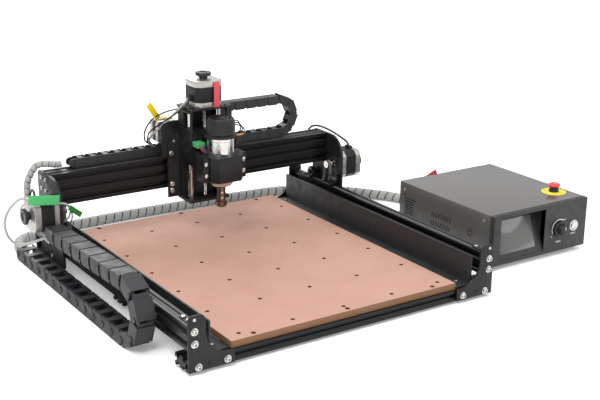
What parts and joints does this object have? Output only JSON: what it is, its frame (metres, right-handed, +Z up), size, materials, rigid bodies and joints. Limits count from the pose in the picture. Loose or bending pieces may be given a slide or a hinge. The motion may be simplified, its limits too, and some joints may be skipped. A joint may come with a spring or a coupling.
{
  "type": "cnc router",
  "caption": "Desktop CNC router: flat bed, belt-driven gantry on slotted rails, sliding carriage, screw-driven vertical spindle, drag chains, and a control box joined by a wrapped harness.",
  "frame": {"origin": "centre of the bed's top face", "axes": "+X along the gantry beam to the right, +Y to the rear, +Z up; the floor is at z = -0.038"},
  "size_m": [0.9973, 0.7295, 0.3522],
  "materials": {
    "black_aluminium": "black anodised, satin",
    "black_coat": "black powder coat, matte",
    "mdf": "raw board, matte",
    "rubber": "matte",
    "belt": "matte",
    "nylon": "matte",
    "delrin": "satin",
    "motor": "black with bright end caps",
    "steel": "turned, bright",
    "collet_steel": "turned, bronze tint",
    "black_plastic": "moulded, satin",
    "box_paint": "grey paint, satin",
    "box_plastic": "moulded, fine texture",
    "red_plastic": "moulded, semi gloss",
    "wrap": "spiral wrap, matte"
  },
  "bodies": {
    "machine": {"y_rail_left": "black_aluminium", "y_rail_right": "black_aluminium", "end_plate_front_left": "black_aluminium", "end_plate_front_right": "black_aluminium", "end_plate_rear_left": "black_aluminium", "end_plate_rear_right": "black_aluminium", "crossbeam_front": "black_aluminium", "crossbeam_middle": "black_aluminium", "crossbeam_rear": "black_aluminium", "spoilboard": "mdf", "guard_left": "black_coat", "guard_right": "black_coat", "foot_front_left": "rubber", "foot_front_right": "rubber", "foot_rear_left": "rubber", "foot_rear_right": "rubber", "y_belt_left": "belt", "y_belt_right": "belt", "controller_base": "box_plastic", "controller_cover": "box_paint", "controller_front_panel": "box_plastic", "estop_collar": "black_plastic", "y_chain_lower_run": "nylon", "main_harness": "wrap"},
    "gantry": {"gantry_beam": "black_aluminium", "gantry_plate_left": "black_aluminium", "gantry_plate_right": "black_aluminium", "y_motor_left": "motor", "y_motor_right": "motor", "x_chain_lower_run": "nylon", "y_chain_upper_run": "nylon", "gantry_harness": "wrap"},
    "x_carriage": {"carriage_plate": "black_aluminium", "x_motor": "motor", "z_motor": "motor", "z_guide_rod_left": "steel", "z_guide_rod_right": "steel", "x_chain_upper_run": "nylon"},
    "spindle_carriage": {"spindle_mount": "black_aluminium", "spindle_body": "steel", "spindle_fan_cover": "black_plastic"},
    "spindle_rotor": {"spindle_collet": "collet_steel"},
    "lead_screw": {"z_lead_screw": "steel"},
    "y_shaft_left": {"y_drive_shaft_left": "black_plastic"},
    "y_shaft_right": {"y_drive_shaft_right": "black_plastic"},
    "x_pulley": {"x_drive_pulley": "steel"},
    "y_chain_bend": {"y_chain_loop": "nylon"},
    "x_chain_bend": {"x_chain_loop": "nylon"},
    "knob": {"speed_knob": "black_plastic"},
    "start": {"start_button": "steel"},
    "stop": {"estop_button": "red_plastic"},
    "y_wheel_left_front_body": {"y_wheel_left_front": "delrin"},
    "y_wheel_left_rear_body": {"y_wheel_left_rear": "delrin"},
    "y_wheel_left_lower_body": {"y_wheel_left_lower": "delrin"},
    "y_wheel_right_front_body": {"y_wheel_right_front": "delrin"},
    "y_wheel_right_rear_body": {"y_wheel_right_rear": "delrin"},
    "y_wheel_right_lower_body": {"y_wheel_right_lower": "delrin"},
    "x_wheel_upper_left_body": {"x_wheel_upper_left": "delrin"},
    "x_wheel_upper_right_body": {"x_wheel_upper_right": "delrin"},
    "x_wheel_lower_body": {"x_wheel_lower": "delrin"}
  },
  "joints": [
    {"name": "gantry_slide", "type": "slide", "parent": "machine", "child": "gantry", "axis": [0, 1, 0], "range_m": [-0.42, 0], "deforming": ["y_chain_upper_run", "y_chain_lower_run"]},
    {"name": "carriage_slide", "type": "slide", "parent": "gantry", "child": "x_carriage", "axis": [1, 0, 0], "range_m": [-0.2, 0.2], "deforming": ["x_chain_upper_run", "x_chain_lower_run"]},
    {"name": "z_slide", "type": "slide", "parent": "x_carriage", "child": "spindle_carriage", "axis": [0, 0, 1], "range_m": [-0.06, 0.002]},
    {"name": "spindle_spin", "type": "hinge", "parent": "spindle_carriage", "child": "spindle_rotor", "pos_m": [-0.009, 0.107, 0.07], "axis": [0, 0, 1], "continuous": true},
    {"name": "lead_screw_turn", "type": "hinge", "parent": "x_carriage", "child": "lead_screw", "pos_m": [-0.009, 0.171, 0.07], "axis": [0, 0, 1], "range_deg": [-100, 2720]},
    {"name": "y_shaft_left_turn", "type": "hinge", "parent": "gantry", "child": "y_shaft_left", "pos_m": [-0.33, 0.187, 0.086], "axis": [1, 0, 0], "range_deg": [-3800, 10]},
    {"name": "y_shaft_right_turn", "type": "hinge", "parent": "gantry", "child": "y_shaft_right", "pos_m": [0.33, 0.187, 0.086], "axis": [1, 0, 0], "range_deg": [-3800, 10]},
    {"name": "x_pulley_turn", "type": "hinge", "parent": "x_carriage", "child": "x_pulley", "pos_m": [-0.056, 0.23, 0.192], "axis": [0, 1, 0], "range_deg": [-1820, 1820]},
    {"name": "y_chain_follow", "type": "slide", "parent": "machine", "child": "y_chain_bend", "axis": [0, 1, 0], "range_m": [-0.211, 0.001]},
    {"name": "x_chain_follow", "type": "slide", "parent": "gantry", "child": "x_chain_bend", "axis": [1, 0, 0], "range_m": [-0.101, 0.101]},
    {"name": "speed_knob_turn", "type": "hinge", "parent": "machine", "child": "knob", "pos_m": [0.5525, -0.224, 0.018], "axis": [0, 1, 0], "range_deg": [0, 270]},
    {"name": "start_button_press", "type": "slide", "parent": "machine", "child": "start", "axis": [0, 1, 0], "range_m": [0, 0.002], "stiffness_N_per_m": 400, "springref_m": -0.001},
    {"name": "estop_press", "type": "slide", "parent": "machine", "child": "stop", "axis": [0, 0, -1], "range_m": [0, 0.0035], "stiffness_N_per_m": 900, "springref_m": -0.0015},
    {"name": "y_wheel_left_front_roll", "type": "hinge", "parent": "gantry", "child": "y_wheel_left_front_body", "pos_m": [-0.2926, 0.171, 0.05545], "axis": [1, 0, 0], "range_deg": [-10, 2466]},
    {"name": "y_wheel_left_rear_roll", "type": "hinge", "parent": "gantry", "child": "y_wheel_left_rear_body", "pos_m": [-0.2926, 0.247, 0.05545], "axis": [1, 0, 0], "range_deg": [-10, 2466]},
    {"name": "y_wheel_left_lower_roll", "type": "hinge", "parent": "gantry", "child": "y_wheel_left_lower_body", "pos_m": [-0.2926, 0.209, -0.0059], "axis": [1, 0, 0], "range_deg": [-2466, 10]},
    {"name": "y_wheel_right_front_roll", "type": "hinge", "parent": "gantry", "child": "y_wheel_right_front_body", "pos_m": [0.2926, 0.171, 0.05545], "axis": [1, 0, 0], "range_deg": [-10, 2466]},
    {"name": "y_wheel_right_rear_roll", "type": "hinge", "parent": "gantry", "child": "y_wheel_right_rear_body", "pos_m": [0.2926, 0.247, 0.05545], "axis": [1, 0, 0], "range_deg": [-10, 2466]},
    {"name": "y_wheel_right_lower_roll", "type": "hinge", "parent": "gantry", "child": "y_wheel_right_lower_body", "pos_m": [0.2926, 0.209, -0.0059], "axis": [1, 0, 0], "range_deg": [-2466, 10]},
    {"name": "x_wheel_upper_left_roll", "type": "hinge", "parent": "x_carriage", "child": "x_wheel_upper_left_body", "pos_m": [-0.065, 0.221, 0.1573], "axis": [0, 1, 0], "range_deg": [-1180, 1180]},
    {"name": "x_wheel_upper_right_roll", "type": "hinge", "parent": "x_carriage", "child": "x_wheel_upper_right_body", "pos_m": [0.047, 0.221, 0.1573], "axis": [0, 1, 0], "range_deg": [-1180, 1180]},
    {"name": "x_wheel_lower_roll", "type": "hinge", "parent": "x_carriage", "child": "x_wheel_lower_body", "pos_m": [-0.009, 0.221, 0.0767], "axis": [0, 1, 0], "range_deg": [-1180, 1180]}
  ],
  "couplings": [
    {"joint": "lead_screw_turn", "follows": "z_slide", "rad_per_m": -785.4},
    {"joint": "y_shaft_left_turn", "follows": "gantry_slide", "rad_per_m": 157.08},
    {"joint": "y_shaft_right_turn", "follows": "gantry_slide", "rad_per_m": 157.08},
    {"joint": "x_pulley_turn", "follows": "carriage_slide", "rad_per_m": 157.08},
    {"joint": "y_chain_follow", "follows": "gantry_slide", "ratio": 0.5},
    {"joint": "x_chain_follow", "follows": "carriage_slide", "ratio": 0.5},
    {"joint": "y_wheel_left_front_roll", "follows": "gantry_slide", "rad_per_m": -102.04},
    {"joint": "y_wheel_left_rear_roll", "follows": "gantry_slide", "rad_per_m": -102.04},
    {"joint": "y_wheel_left_lower_roll", "follows": "gantry_slide", "rad_per_m": 102.04},
    {"joint": "y_wheel_right_front_roll", "follows": "gantry_slide", "rad_per_m": -102.04},
    {"joint": "y_wheel_right_rear_roll", "follows": "gantry_slide", "rad_per_m": -102.04},
    {"joint": "y_wheel_right_lower_roll", "follows": "gantry_slide", "rad_per_m": 102.04},
    {"joint": "x_wheel_upper_left_roll", "follows": "carriage_slide", "rad_per_m": 102.04},
    {"joint": "x_wheel_upper_right_roll", "follows": "carriage_slide", "rad_per_m": 102.04},
    {"joint": "x_wheel_lower_roll", "follows": "carriage_slide", "rad_per_m": -102.04}
  ]
}
